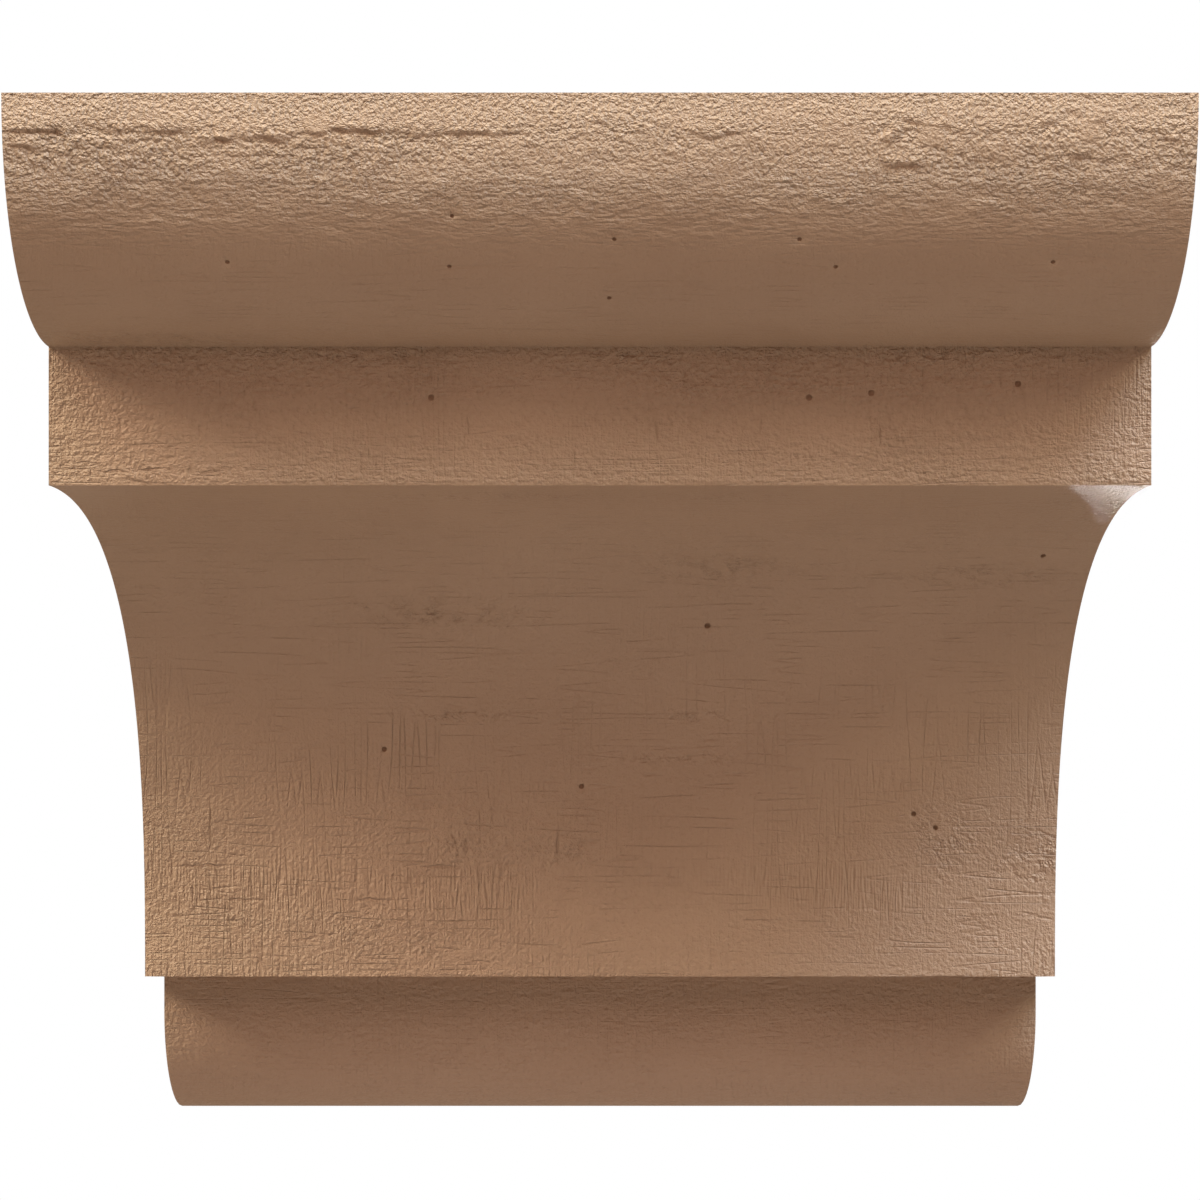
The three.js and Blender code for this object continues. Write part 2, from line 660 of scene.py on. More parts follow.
    crumbs: tuple[Crumbs, ...] = (
        Crumbs(-78.0, 41.8, 20.0, 1.4),
        Crumbs(-40.0, 44.5, 12.0, 1.2),
        Crumbs(6.0, 44.2, 9.0, 1.0),
        Crumbs(60.0, 44.5, 26.0, 1.3),
        Crumbs(-18.0, 68.4, 20.0, 0.8),
        Crumbs(22.0, 68.6, 9.0, 0.8),
        Crumbs(86.0, 69.0, 8.0, 4.0),
        Crumbs(21.0, 80.5, 13.0, 2.2),
        Crumbs(-28.0, 88.5, 16.0, 2.6),
        Crumbs(64.0, 82.0, 12.0, 1.6),
        Crumbs(-24.0, 106.0, 11.0, 0.9),
        Crumbs(16.0, 106.0, 7.0, 0.9),
        Crumbs(12.0, 113.0, 10.0, 0.8),
        Crumbs(-59.4, 141.2, 4.5, 2.6),
        Crumbs(-41.6, 142.4, 5.0, 2.6),
        Crumbs(-30.2, 145.1, 4.5, 2.2),
        Crumbs(-24.0, 128.5, 3.5, 2.4),
        Crumbs(-6.0, 129.5, 4.0, 2.4),
        Crumbs(58.0, 127.0, 5.0, 5.0),
        Crumbs(78.0, 130.0, 9.0, 6.0),
    )

    def strengths(self, u: np.ndarray, v: np.ndarray, drop: np.ndarray) -> np.ndarray:
        """Say how strong each kind of grain is.

        Args:
            u: Places across, in millimetres.
            v: Places down the profile, in millimetres.
            drop: Heights below the top, in millimetres.

        Returns:
            The strengths at each place, in the order of Kinds, from 0 up.
        """
        ends = (self.moulding.ovolo_height, self.moulding.fillet_foot, self.moulding.cove_foot)
        members = np.digitize(drop, ends)
        total = 0.0
        for region in self.regions:
            share = region.share(members, u, drop)
            total = total + share[..., None] * np.array(astuple(region.kinds))
        clumps, waves, sawn, sand, level, upright = np.moveaxis(total, -1, 0)

        cover = 1.0 + self.patch_change * self.patches.at(u, v)
        cover += self.small_patch_change * self.small_patches.at(u, v)
        for spot in self.spots:
            cover = cover * (1.0 - self.rubbed * spot.share(u, v))
        weave = self.weave_least
        weave += (1.0 - self.weave_least) * ease(self.weave.at(u, v), *self.weave_range)
        strewn = sum(patch.share(u, drop) for patch in self.crumbs)
        strewn = strewn * ease(self.strewn.at(u, v), *self.gap_range)
        worn = ease(self.worn.at(u, v), *self.gap_range)
        kinds = (
            clumps * cover + self.crumb_clumps * strewn,
            waves * (self.wave_evenness + (1.0 - self.wave_evenness) * cover),
            sawn * weave,
            sand * (self.sand_evenness + (1.0 - self.sand_evenness) * cover)
            + self.crumb_sand * strewn,
            level * worn,
            upright * weave,
        )
        return np.stack(kinds, axis=-1).clip(0.0, self.strongest)

    def height(self, u: np.ndarray, v: np.ndarray, drop: np.ndarray) -> np.ndarray:
        """Work out the relief over the unrolled surface.

        Args:
            u: Places across, in millimetres.
            v: Places down the profile, in millimetres.
            drop: Heights below the top, in millimetres.

        Returns:
            Heights in millimetres, outward.
        """
        clumps, waves, *_ = np.moveaxis(self.strengths(u, v, drop), -1, 0)
        bent = v + self.bend_reach * self.bend.at(u, v)
        total = self.swell_height * self.swell.at(u, bent)
        total += self.wave_height * self.wave.at(u, bent) * waves
        lumps = self.lump.at(u, v) + self.clod_share * self.clod.at(u, v)
        total += self.lump_height * clumps * lumps
        stray = self.stray_reach * self.stray.at(u, np.zeros_like(v))
        tear = self.tear.at(u, np.full_like(v, self.tear_line))
        depth = (self.tear_depth + self.tear_change * tear).clip(*self.tear_limits)
        for ledge in self.ledges:
            total += ledge.lift(u, v, stray, depth)
        return total


@dataclass
class Wiring:
    """A material's nodes, with short ways to add them and join them up."""

    tree: bpy.types.NodeTree

    def node(
        self, kind: str, inputs: dict[int | str, object], **settings: str | bool
    ) -> bpy.types.Node:
        """Add a node.

        Args:
            kind: The kind of node.
            inputs: What each input gets: another node's output, or a value.
            settings: The node's settings.

        Returns:
            The new node.
        """
        made = self.tree.nodes.new(kind)
        for name, value in settings.items():
            setattr(made, name, value)
        for name, value in inputs.items():
            if isinstance(value, Socket):
                self.tree.links.new(value, made.inputs[name])
            else:
                made.inputs[name].default_value = value
        return made

    def attribute(self, name: str, output: str = "Vector") -> Socket:
        """Read one of the mesh's attributes."""
        return self.node("ShaderNodeAttribute", {}, attribute_name=name).outputs[output]

    def split(self, vector: Socket) -> list[Socket]:
        """Take a vector apart into its three parts."""
        return list(self.node("ShaderNodeSeparateXYZ", {"Vector": vector}).outputs)

    def combine(self, kind: str, *values: Socket | float) -> Socket:
        """Work out a number from one, two or three others."""
        return self.node("ShaderNodeMath", dict(enumerate(values)), operation=kind).outputs[0]

    def scale_and_add(self, *vectors: object) -> Socket:
        """Multiply the first vector by the second, part by part, and add the third."""
        inputs = dict(enumerate(vectors))
        return self.node("ShaderNodeVectorMath", inputs, operation="MULTIPLY_ADD").outputs[0]

    def noise(
        self, place: Socket, size: tuple[float, float], detail: float = 0.0, fall: float = 0.5
    ) -> Socket:
        """Add a noise over the unrolled surface.

        Args:
            place: The place on the unrolled surface.
            size: The width and height of its features, in millimetres.
            detail: Its finer octaves.
            fall: How strong each finer octave is.

        Returns:
            The noise, from 0 to 1.
        """
        scale = (1.0 / size[0], 1.0 / size[1], 1.0)
        spread = self.node("ShaderNodeMapping", {"Vector": place, "Scale": scale})
        inputs = {"Vector": spread.outputs[0], "Scale": 1.0, "Detail": detail, "Roughness": fall}
        return self.node("ShaderNodeTexNoise", inputs, noise_dimensions="2D").outputs["Fac"]


@dataclass(frozen=True)
class Depths:
    """How deep each kind of the finest grain is, as a share of the finish's relief.

    cracks says how many times as deep as a hairline a crack is.
    """

    clumps: float = 0.85
    sand: float = 0.66
    saw: float = 0.28
    hairlines: float = 0.17
    cracks: float = 1.3


@dataclass(frozen=True)
class Tones:
    """What moves the paint between its shade, at 0, and its colour, at 1.

    The tone is even, plus the broad drift and the sand. From that comes the painted shade, scaled
    by one share:
    in the clumps' hollows (a slope and a start), along the lines, in the pits and in the pinholes,
    where shade falls. A hairline is painted less dark than a crack, and a pit lies where the sand
    is below pit_level.
    """

    even: float = 0.38
    drift: float = 0.3
    # partly the sanded grain's own paler tone, partly a painted sheen for the whiter, lit lip
    sand: float = 0.28
    # painted shade: how far the hollows, cracks, hairlines, pits and pinholes darken the paint
    painted_shade: float = 0.8
    hollow_shade: tuple[float, float] = (1.4, -0.6)
    # painted shade along the cracks and hairlines
    lines: float = 0.42
    hairlines: float = 0.45
    # painted shade in the sand's pits
    pit_shade: float = 4.0
    pit_level: float = 0.41
    # painted shade deep in the pinholes
    pinholes: float = 1.05


@dataclass(frozen=True)
class PrimedUrethane:
    """The finish: tan primer over the casting, with the finest grain in its bump and painted shade
    in its hollows, cracks, pits and pinholes.

    Sizes are in millimetres along the unrolled surface. Each grit gives a texture's finer octaves
    and how strong each of them is. hair_size is that of the level hairlines, and the upright ones'
    is the same turned round. stray is how far the cracks wander, in steps of stray_size.
    """

    colour: tuple[float, float, float] = (0.53, 0.37, 0.25)
    shade: tuple[float, float, float] = (0.36, 0.229, 0.144)
    roughness: float = 0.55
    roughness_change: float = 0.12
    specular: float = 0.5
    relief: float = 0.9
    depths: Depths = Depths()
    tones: Tones = Tones()
    sand_size: tuple[float, float] = (0.7, 0.7)
    sand_grit: tuple[float, float] = (2.0, 0.68)
    clump_size: float = 1.2
    clump_grit: tuple[float, float] = (1.0, 0.55)
    wave_size: tuple[float, float] = (2.4, 0.85)
    wave_grit: tuple[float, float] = (2.0, 0.55)
    saw_size: tuple[float, float] = (0.36, 3.2)
    hair_size: tuple[float, float] = (32.0, 1.9)
    hair_sharpness: float = 22.0
    drift_size: tuple[float, float] = (40.0, 25.0)
    drift_grit: tuple[float, float] = (1.0, 0.5)
    stray_size: float = 3.0
    stray: float = 0.9
    crack_sharpness: float = 2.0
    cracks: tuple[Crack, ...] = (
        Crack(-90.0, 63.9, 7.0, 0.8),
        Crack(-83.0, 64.2, 6.0, 0.8),
        Crack(-76.5, 63.8, 5.0),
        Crack(-69.8, 64.0, 0.7, 3.0),
        Crack(-66.8, 64.4, 4.0, 0.8),
        Crack(-63.4, 63.6, 3.0, 0.8),
        Crack(-22.4, 56.5, 0.5, 4.0),
        Crack(9.5, 57.6, 0.5, 5.0),
        Crack(27.2, 56.4, 0.5, 3.0),
        Crack(47.6, 57.8, 0.5, 4.5),
        Crack(-61.5, 137.5, 9.5),
        Crack(-38.6, 137.6, 9.0),
        Crack(-68.0, 131.7, 11.0),
        Crack(-27.5, 131.8, 8.0),
        Crack(-66.7, 126.0, 0.5, 12.0),
        Crack(-7.2, 128.3, 0.5, 5.0),
    )

    def cracked(self, wiring: Wiring, place: Socket, levels: Levels) -> Socket:
        """Draw the hairline cracks.

        Args:
            wiring: The material's nodes.
            place: The place on the unrolled surface.
            levels: The mesh's levels, which say how far down the profile each drop is.

        Returns:
            The depth of the cracks, from 0 to 1.
        """
        inputs = {"Vector": place, "Scale": 1.0 / self.stray_size, "Detail": 1.0}
        cloud = wiring.node("ShaderNodeTexNoise", inputs, noise_dimensions="2D")
        bent = wiring.scale_and_add(cloud.outputs["Color"], (self.stray, self.stray, 0.0), place)
        grooves = []
        for crack in self.cracks:
            run = float(np.interp(crack.drop, levels.drop, levels.run))
            scale = (2.0 / crack.across, 2.0 / crack.down, 1.0)
            middle_u, middle_v = crack.u + self.stray / 2.0, run + self.stray / 2.0
            shift = (-scale[0] * middle_u, -scale[1] * middle_v, 0.0)
            own = wiring.scale_and_add(bent, scale, shift)
            inputs = {"Vector": own}
            groove = wiring.node("ShaderNodeTexGradient", inputs, gradient_type="SPHERICAL")
            grooves.append(groove.outputs["Fac"])
        deepest = reduce(lambda one, other: wiring.combine("MAXIMUM", one, other), grooves)
        deepest = wiring.combine("MULTIPLY", deepest, self.crack_sharpness)
        return wiring.combine("MINIMUM", deepest, 1.0)

    def hairlines(
        self, wiring: Wiring, place: Socket, size: tuple[float, float], strength: Socket
    ) -> Socket:
        """Draw hairlines where a noise crosses its middle.

        Args:
            wiring: The material's nodes.
            place: The place on the unrolled surface.
            size: The width and height of the noise's features, in millimetres.
            strength: How strong the lines are.

        Returns:
            The depth of the lines, from 0 to 1.
        """
        away = wiring.combine("SUBTRACT", wiring.noise(place, size), 0.5)
        away = wiring.combine("ABSOLUTE", away)
        line = wiring.combine("MULTIPLY_ADD", away, -self.hair_sharpness, 1.0)
        return wiring.combine("MULTIPLY", wiring.combine("MAXIMUM", line, 0.0), strength)

    def material(self, levels: Levels) -> bpy.types.Material:
        """Build the node material.

        Args:
            levels: The mesh's levels.

        Returns:
            The material.
        """
        made = bpy.data.materials.new("primed_urethane")
        made.use_nodes = True
        wiring = Wiring(made.node_tree)
        combine, depths, tones = wiring.combine, self.depths, self.tones
        place = wiring.attribute("surface")
        clumps, waves, sawn = wiring.split(wiring.attribute("grain"))
        sanded, level, upright = wiring.split(wiring.attribute("fine_grain"))
        # the faces deep in the pinholes, which get painted shade
        pinhole = wiring.attribute("pinhole", "Fac")

        sand = wiring.noise(place, self.sand_size, *self.sand_grit)
        wave = wiring.noise(place, self.wave_size, *self.wave_grit)
        saw = wiring.noise(place, self.saw_size)
        drift = wiring.noise(place, self.drift_size, *self.drift_grit)
        inputs = {
            "Vector": place,
            "Scale": 1.0 / self.clump_size,
            "Detail": self.clump_grit[0],
            "Roughness": self.clump_grit[1],
        }
        cells = wiring.node("ShaderNodeTexVoronoi", inputs, voronoi_dimensions="2D", feature="F1")
        hollow = cells.outputs["Distance"]
        cracks = self.cracked(wiring, place, levels)
        level_hairs = self.hairlines(wiring, place, self.hair_size, level)
        upright_hairs = self.hairlines(wiring, place, self.hair_size[::-1], upright)
        hairs = combine("MAXIMUM", level_hairs, upright_hairs)

        height = combine("MULTIPLY", combine("MULTIPLY", hollow, -depths.clumps), clumps)
        deep_sand = combine("MULTIPLY", sand, depths.sand)
        height = combine("MULTIPLY_ADD", deep_sand, sanded, height)
        height = combine("MULTIPLY_ADD", wave, waves, height)
        deep_sawn = combine("MULTIPLY", sawn, depths.saw)
        height = combine("MULTIPLY_ADD", saw, deep_sawn, height)
        lines = combine("MAXIMUM", combine("MULTIPLY", cracks, depths.cracks), hairs)
        height = combine("MULTIPLY_ADD", lines, -depths.hairlines, height)
        inputs = {"Strength": 1.0, "Distance": self.relief * MM, "Height": height}
        bump = wiring.node("ShaderNodeBump", inputs)

        # painted shade: darker paint in the clumps' hollows, where shade falls among the lumps
        painted_shade = combine("MULTIPLY", combine("MULTIPLY_ADD", hollow, *tones.hollow_shade), clumps)
        # painted shade: darker paint along the cracks and hairlines, where shade falls in the
        # grooves
        lines = combine("MAXIMUM", cracks, combine("MULTIPLY", hairs, tones.hairlines))
        painted_shade = combine("MULTIPLY_ADD", lines, tones.lines, combine("MAXIMUM", painted_shade, 0.0))
        # painted shade: darker paint in the sand's pits, where the sand noise is low
        painted_pit_shade = combine("MAXIMUM", combine("SUBTRACT", tones.pit_level, sand), 0.0)
        painted_pit_shade = combine("MULTIPLY", painted_pit_shade, tones.pit_shade)
        painted_shade = combine("MULTIPLY_ADD", painted_pit_shade, sanded, painted_shade)
        # painted shade: darker paint deep in the pinholes
        painted_shade = combine("MAXIMUM", painted_shade, combine("MULTIPLY", pinhole, tones.pinholes))
        tone = combine("MULTIPLY_ADD", drift, tones.drift, tones.even)
        # paler where the sand is strong: partly the sanded grain's own tone, partly a painted
        # sheen for the lit lip
        tone = combine("MULTIPLY_ADD", sanded, tones.sand, tone)
        tone = combine("MULTIPLY_ADD", painted_shade, -tones.painted_shade, tone)
        inputs = {"Factor": tone, "A": (*self.shade, 1.0), "B": (*self.colour, 1.0)}
        paint = wiring.node("ShaderNodeMix", inputs, data_type="RGBA", clamp_factor=False)

        smoothest = self.roughness - self.roughness_change / 2.0
        rough = combine("MULTIPLY_ADD", sand, self.roughness_change, smoothest)
        shader = made.node_tree.nodes["Principled BSDF"]
        shader.inputs["Specular IOR Level"].default_value = self.specular
        made.node_tree.links.new(rough, shader.inputs["Roughness"])
        made.node_tree.links.new(bump.outputs["Normal"], shader.inputs["Normal"])
        made.node_tree.links.new(paint.outputs["Result"], shader.inputs["Base Color"])
        return made


@dataclass
class Skin:
    """The growing mesh: each point's place, and where it lies on the unrolled surface.

    chart holds, for each point, its place across, its runs down the front's and the sides'
    profiles, and its drop below the top, all in millimetres.
    """

    points: list[tuple[float, float, float]]
    chart: list[tuple[float, float, float, float]]
    faces: list[tuple[int, ...]] = field(default_factory=list)
    zones: list[int] = field(default_factory=list)
    sunk: list[bool] = field(default_factory=list)

    def add(self, point: tuple[float, ...], chart: tuple[float, ...]) -> int:
        """Add a point.

        Args:
            point: Its place, in millimetres.
            chart: Its place on the chart.

        Returns:
            Its number.
        """
        self.points.append(tuple(point))
        self.chart.append(tuple(chart))
        return len(self.points) - 1

    def blend(self, corners: list[tuple[int, float]], shift: tuple[float, float, float]) -> int:
        """Add a point between others.

        Args:
            corners: The other points, each with its weight.
            shift: How far the new point is moved from there, in millimetres.

        Returns:
            The new point's number.
        """
        point = sum(np.array(self.points[i]) * w for i, w in corners) + np.array(shift)
        chart = sum(np.array(self.chart[i]) * w for i, w in corners)
        return self.add(tuple(point), tuple(chart))

    def close(self, loop: tuple[int, ...], zone: Zone, sunk: bool = False) -> None:
        """Add a face.

        Args:
            loop: Its points' numbers, in order.
            zone: The zone that it lies in.
            sunk: Whether it lies deep inside a pinhole, where the finish paints shade.
        """
        self.faces.append(loop)
        self.zones.append(zone.value)
        self.sunk.append(sunk)


@dataclass
class Casting:
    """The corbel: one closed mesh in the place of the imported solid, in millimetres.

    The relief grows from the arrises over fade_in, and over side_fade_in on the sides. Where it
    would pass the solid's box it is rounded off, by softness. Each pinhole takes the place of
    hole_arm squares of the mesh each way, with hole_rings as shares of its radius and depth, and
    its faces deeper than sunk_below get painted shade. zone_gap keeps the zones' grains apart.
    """

    moulding: Moulding = field(default_factory=Moulding)
    finish: PrimedUrethane = field(default_factory=PrimedUrethane)
    front_columns: int = 248
    side_columns: int = 24
    side_crowding: float = 1.6
    fade_in: float = 1.2
    side_fade_in: float = 5.0
    softness: float = 0.12
    flat_grain: Kinds = Kinds(0.12, 0.1, 0.25, 0.4, 0.2, 0.2)
    zone_gap: float = 50.0
    hole_arm: int = 2
    hole_rings: tuple[tuple[float, float], ...] = (
        (1.25, 0.0),
        (1.0, 0.12),
        (0.86, 0.6),
        (0.5, 0.95),
    )
    sunk_below: float = 0.5
    pinholes: tuple[Pinhole, ...] = (
        Pinhole(-28.5, 51.5, 0.55),
        Pinhole(35.6, 51.8, 0.55),
        Pinhole(46.2, 50.8, 0.55),
        Pinhole(71.4, 49.3, 0.55),
        Pinhole(18.7, 90.3, 0.55),
        Pinhole(75.5, 78.5),
        Pinhole(57.7, 125.3),
        Pinhole(53.8, 123.1),
        Pinhole(-3.4, 118.0),
        Pinhole(-36.8, 111.6),
        Pinhole(-25.8, 29.4, 0.38, 0.4),
        Pinhole(40.0, 29.6, 0.38, 0.4),
        Pinhole(1.7, 34.9, 0.38, 0.4),
        Pinhole(-63.1, 28.9, 0.38, 0.4),
        Pinhole(33.9, 24.7, 0.38, 0.4),
        Pinhole(2.2, 25.2, 0.38, 0.4),
        Pinhole(-24.9, 20.6, 0.38, 0.4),
        Pinhole(77.3, 28.9, 0.38, 0.4),
    )

    @property
    def count(self) -> int:
        """Count the mesh's columns."""
        return 2 * self.side_columns + self.front_columns + 1

    def columns(self) -> tuple[np.ndarray, np.ndarray]:
        """List the mesh's columns round the left side, the front and the right side.

        Returns:
            Each column's side, and its place: from the back to the front on the sides, and from
            left to right on the front, from -1 to 1. The corners belong to the front.
        """
        back = np.linspace(0.0, 1.0, self.side_columns + 1)[:-1]
        crowded = 1.0 - (1.0 - back) ** self.side_crowding
        across = np.linspace(-1.0, 1.0, self.front_columns + 1)
        sides = [Side.LEFT] * len(back) + [Side.FRONT] * len(across) + [Side.RIGHT] * len(back)
        places = np.concatenate([crowded, across, crowded[::-1]])
        return np.array([side.value for side in sides]), places

    def build(self, low: Vector, high: Vector) -> bpy.types.Object:
        """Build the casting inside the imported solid's box.

        Args:
            low: The box's lowest corner.
            high: Its highest corner.

        Returns:
            The new object.
        """
        grain = Grain(self.moulding)
        levels = self.moulding.levels((high.z - low.z) / MM)
        skin = self.wrap(low, high, levels, grain)
        skipped: set[tuple[int, int]] = set()
        for hole in self.pinholes:
            skipped |= self.punch(hole, skin, levels, high.x / MM)
        count = self.count
        last_row = len(levels.drop) - 1
        last_front = self.side_columns + self.front_columns
        for r in range(last_row):
            for c in range(count - 1):
                if (r, c) not in skipped:
                    a = r * count + c
                    zone = Zone.FRONT if self.side_columns <= c < last_front else Zone.SIDE
                    skin.close((a, a + count, a + count + 1, a + 1), zone)
        top = self.cap(skin, 0, True)
        foot = self.cap(skin, last_row * count, False)
        self.close_back(skin, levels, top, foot)
        return self.to_object(skin, levels, grain)

    def close_back(self, skin: Skin, levels: Levels, top: list[int], foot: list[int]) -> None:
        """Close the flat back with one face between each level and the next one down.

        Args:
            skin: The skin, which gains the faces.
            levels: The mesh's levels.
            top: The points along the top's back edge, from left to right.
            foot: The points along the underside's back edge, from left to right.
        """
        count = self.count
        final = len(levels.drop) - 1
        upper = top
        start = 0
        while start < final:
            end = start + 1
            while end < final and levels.drop[end + 1] - levels.drop[end] < TINY:
                end += 1
            shelf = range(start + 1, end + 1)
            lower = [r * count for r in shelf] + [(r + 1) * count - 1 for r in reversed(shelf)]
            if end == final:
                lower = foot
            skin.close((*upper, *reversed(lower)), Zone.BACK)
            upper = [end * count, (end + 1) * count - 1]
            start = end

    def wrap(self, low: Vector, high: Vector, levels: Levels, grain: Grain) -> Skin:
        """Lay the points of the moulded sides, with the grain raised on them.

        Args:
            low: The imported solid's lowest corner.
            high: Its highest corner.
            levels: The mesh's levels.
            grain: The grain.

        Returns:
            The skin, with its points and no faces yet.
        """
        half_width, depth = high.x / MM, -low.y / MM
        side, place = self.columns()
        on_front = side == 0
        inset = levels.inset[:, None]
        drop = levels.drop[:, None] + 0.0 * place
        run = levels.run[:, None] + 0.0 * place
        side_run = levels.side_run[:, None] + 0.0 * place
        half = half_width - inset
        reach = depth - self.moulding.front_stretch * inset
        x = np.where(on_front, place * half, side * half)
        y = np.where(on_front, -reach, -place * reach)
        z = high.z / MM - drop
        beyond = np.where(on_front, 0.0, reach * (1.0 - place))
        across = x + side * beyond
        along = np.where(on_front, run, side_run)

        to_corner = np.where(on_front, half - np.abs(x), beyond)
        edge_runs = levels.run[levels.edge]
        to_edge = np.abs(levels.run[:, None] - edge_runs).min(axis=1)[:, None]
        to_back = np.where(on_front, self.fade_in, place * reach)
        nearest = np.minimum(np.minimum(to_corner, to_edge), to_back)
        relief = grain.height(across, along, drop)
        room = np.where(on_front, self.moulding.front_stretch * inset, 0.0)
        relief = room - self.softness * np.logaddexp(0.0, (room - relief) / self.softness)
        lift = ease(nearest, 0.0, np.where(on_front, self.fade_in, self.side_fade_in)) * relief
        lean, side_lean = levels.lean, levels.side_lean
        x = x + lift * np.where(on_front, 0.0, side * side_lean[:, :1])
        y = y - lift * np.where(on_front, lean[:, :1], 0.0)
        z = z + lift * np.where(on_front, lean[:, 1:], side_lean[:, 1:])
        x = np.clip(x, low.x / MM, high.x / MM)
        y = np.clip(y, low.y / MM, high.y / MM)
        z = np.clip(z, low.z / MM, high.z / MM)
        points = np.stack([x, y, z], axis=-1).reshape(-1, 3)
        chart = np.stack([across, run, side_run, drop], axis=-1).reshape(-1, 4)
        return Skin([tuple(p) for p in points.tolist()], [tuple(c) for c in chart.tolist()])

    def punch(
        self, hole: Pinhole, skin: Skin, levels: Levels, half_width: float
    ) -> set[tuple[int, int]]:
        """Cut one pinhole into the front.

        Args:
            hole: The pinhole.
            skin: The skin, which gains the hole's points and faces.
            levels: The mesh's levels.
            half_width: Half the top's width, in millimetres.

        Returns:
            The squares of the mesh that the hole takes the place of, as levels and columns.
        """
        arm, count = self.hole_arm, self.count
        row = int(np.argmin(np.abs(levels.drop - hole.drop)))
        step_u = 2.0 * (half_width - levels.inset[row]) / self.front_columns
        step_v = (levels.run[row + 1] - levels.run[row - 1]) / 2.0
        column = self.side_columns + round(hole.u / step_u + self.front_columns / 2.0)
        loop = [(k, -arm) for k in range(-arm, arm)] + [(arm, k) for k in range(-arm, arm)]
        loop += [(-a, -b) for a, b in loop]
        forward, upward = levels.lean[row]
        last = [(row + b) * count + column + a for a, b in loop]
        for wide, deep in self.hole_rings:
            sunk = deep * hole.depth
            shift = (0.0, sunk * forward, -sunk * upward)
            ring = []
            for a, b in loop:
                angle = math.atan2(b * step_v, a * step_u)
                across = wide * hole.radius * math.cos(angle) / step_u
                down = wide * hole.radius * math.sin(angle) / step_v
                ring.append(skin.blend(self.corners(row, column, down, across), shift))
            for k, start in enumerate(last):
                n = (k + 1) % len(loop)
                skin.close((start, ring[k], ring[n], last[n]), Zone.FRONT, deep > self.sunk_below)
            last = ring
        middle = row * count + column
        floor = skin.blend([(middle, 1.0)], (0.0, hole.depth * forward, -hole.depth * upward))
        for k, start in enumerate(last):
            skin.close((last[(k + 1) % len(loop)], start, floor), Zone.FRONT, True)
        return {(row + b, column + a) for a in range(-arm, arm) for b in range(-arm, arm)}

    def corners(
        self, row: int, column: int, down: float, across: float
    ) -> list[tuple[int, float]]:
        """Find the four points round a place in the grid.

        Args:
            row: The level that the place is measured from.
            column: The column that it is measured from.
            down: How many levels down it is.
            across: How many columns across it is.

        Returns:
            The points' numbers, each with its weight.
        """
        part_r, part_c = down - math.floor(down), across - math.floor(across)
        count = self.count
        first = (row + math.floor(down)) * count + column + math.floor(across)
        return [
            (first, (1.0 - part_r) * (1.0 - part_c)),
            (first + 1, (1.0 - part_r) * part_c),
            (first + count, part_r * (1.0 - part_c)),
            (first + count + 1, part_r * part_c),
        ]

    def cap(self, skin: Skin, start: int, faces_up: bool) -> list[int]:
        """Close the top or the underside with a flat grid.

        Args:
            skin: The skin, which gains the grid's points and faces.
            start: The first point of the level that is closed.
            faces_up: Whether this is the top.

        Returns:
            The points along the back edge, from left to right.
        """
        side, front = self.side_columns, self.front_columns
        near = [start + side + c for c in range(front + 1)]
        for k in range(1, side + 1):
            left, right = start + side - k, start + side + front + k
            _, y, z = skin.points[left]
            far = [left]
            for c in range(1, front):
                far.append(skin.add((skin.points[near[c]][0], y, z), skin.chart[near[c]]))
            far.append(right)
            for c in range(front):
                loop = (near[c], near[c + 1], far[c + 1], far[c])
                skin.close(loop if faces_up else loop[::-1], Zone.END)
            near = far
        return near

    def to_object(self, skin: Skin, levels: Levels, grain: Grain) -> bpy.types.Object:
        """Make the Blender object.

        Args:
            skin: The skin.
            levels: The mesh's levels.
            grain: The grain, whose strengths the finish reads.

        Returns:
            The new object.
        """
        mesh = bpy.data.meshes.new("cast_corbel")
        points = np.array(skin.points)
        mesh.from_pydata([tuple(p) for p in (points * MM).tolist()], [], skin.faces)
        mesh.shade_smooth()
        self.mark_grain(mesh, skin, points, grain)
        self.mark_arrises(mesh, points, levels)
        self.drop_unused(mesh)
        mesh.materials.append(self.finish.material(levels))
        made = bpy.data.objects.new("cast_corbel", mesh)
        bpy.context.scene.collection.objects.link(made)
        return made

    def mark_grain(
        self, mesh: bpy.types.Mesh, skin: Skin, points: np.ndarray, grain: Grain
    ) -> None:
        """Give each corner of the mesh what the finish reads: its place and its kinds of grain.

        Args:
            mesh: The mesh.
            skin: The skin that it was made from.
            points: The skin's points.
            grain: The grain.
        """
        owners = np.array([i for face in skin.faces for i in face])
        sizes = np.array([len(face) for face in skin.faces])
        zone = np.repeat(np.array(skin.zones), sizes)
        chart = np.array(skin.chart)[owners]
        flat = points[owners]
        on_front, on_side, on_back = (zone == z.value for z in (Zone.FRONT, Zone.SIDE, Zone.BACK))
        u = np.where(on_front | on_side, chart[:, 0], flat[:, 0])
        v = np.where(on_front, chart[:, 1], np.where(on_side, chart[:, 2], flat[:, 1]))
        v = np.where(on_back, flat[:, 2], v)
        strength = grain.strengths(u, v, chart[:, 3])
        strength[~(on_front | on_side)] = astuple(self.flat_grain)
        vectors = {
            "surface": np.stack([u, v, self.zone_gap * zone], axis=-1),
            "grain": strength[:, :3],
            "fine_grain": strength[:, 3:],
        }
        for name, values in vectors.items():
            layer = mesh.attributes.new(name, "FLOAT_VECTOR", "CORNER")
            layer.data.foreach_set("vector", values.astype(np.float32).ravel())
        # mask of the faces deep in the pinholes, where the finish paints shade
        sunk = np.repeat(np.array(skin.sunk), sizes)
        layer = mesh.attributes.new("pinhole", "FLOAT", "CORNER")
        layer.data.foreach_set("value", sunk.astype(np.float32))

